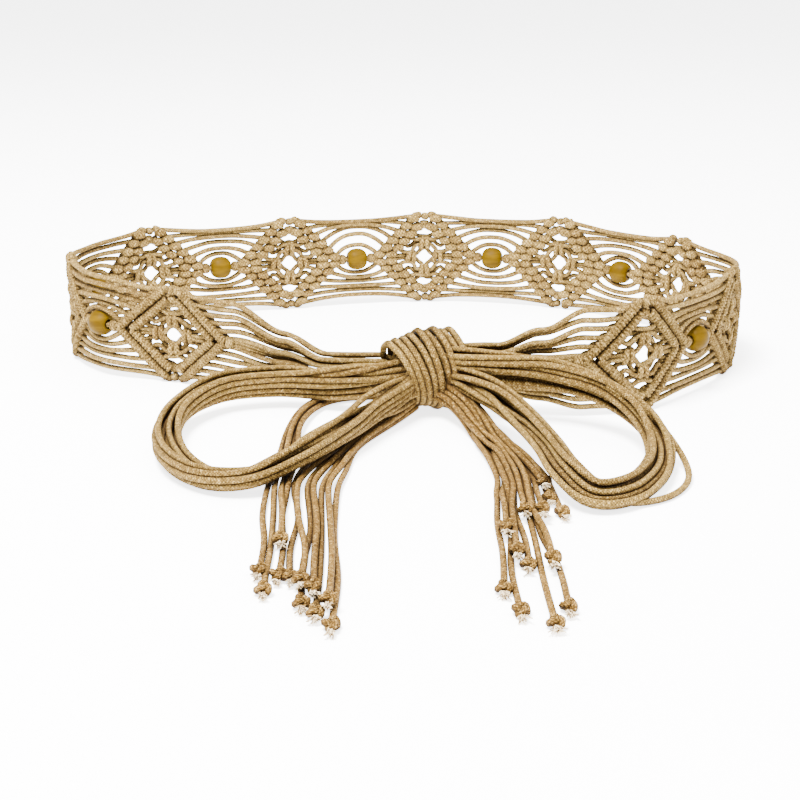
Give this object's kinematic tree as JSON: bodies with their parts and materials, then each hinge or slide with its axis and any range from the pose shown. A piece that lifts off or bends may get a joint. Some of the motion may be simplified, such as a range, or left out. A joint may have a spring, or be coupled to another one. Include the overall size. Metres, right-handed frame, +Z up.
{
  "type": "knotted cord belt",
  "caption": "Macrame cord belt of knotted diamonds with wooden beads between them, standing on its edge and tied in a bow with two loops and loose knotted tails",
  "frame": {"origin": "the middle of the belt's bounding box without its loose tails, on the surface it stands on", "axes": "+X to the right as the bow is seen, +Y from the bow to the back of the belt, +Z up"},
  "size_m": [0.351, 0.4312, 0.0549],
  "materials": {
    "knotted_cord": "tan braided cotton cord, tight half hitches, matte",
    "bare_cord": "tan braided cotton cord, matte with a faint wax sheen",
    "bow_cord": "tan braided cotton cord, matte with a faint wax sheen",
    "tail_cord": "golden tan braided cotton cord, knotted and frayed at its tips",
    "bead_wood": "olive mustard dyed wood, satin"
  },
  "bodies": {
    "root": {"diamond_1": "knotted_cord", "diamond_2": "knotted_cord", "diamond_3": "knotted_cord", "diamond_4": "knotted_cord", "diamond_5": "knotted_cord", "diamond_6": "knotted_cord", "diamond_7": "knotted_cord", "diamond_8": "knotted_cord", "diamond_9": "knotted_cord", "gap_cords_1": "bare_cord", "gap_cords_2": "bare_cord", "gap_cords_3": "bare_cord", "gap_cords_4": "bare_cord", "gap_cords_5": "bare_cord", "gap_cords_6": "bare_cord", "gap_cords_7": "bare_cord", "gap_cords_8": "bare_cord", "end_cords_left": "bare_cord", "end_cords_right": "bare_cord", "bead_1": "bead_wood", "bead_2": "bead_wood", "bead_3": "bead_wood", "bead_4": "bead_wood", "bead_5": "bead_wood", "bead_6": "bead_wood", "bead_7": "bead_wood", "bead_8": "bead_wood", "bow_knot": "bow_cord", "bow_loop_left": "bow_cord", "bow_loop_right": "bow_cord", "tail_root_left": "tail_cord", "tail_root_left_under": "tail_cord", "tail_left_1": "tail_cord", "tail_left_2": "tail_cord", "tail_left_3": "tail_cord", "tail_left_4": "tail_cord", "tail_left_5": "tail_cord", "tail_root_right": "tail_cord", "tail_right_1": "tail_cord", "tail_right_2": "tail_cord", "tail_right_3": "tail_cord", "tail_right_4": "tail_cord", "tail_right_5": "tail_cord"}
  },
  "joints": []
}
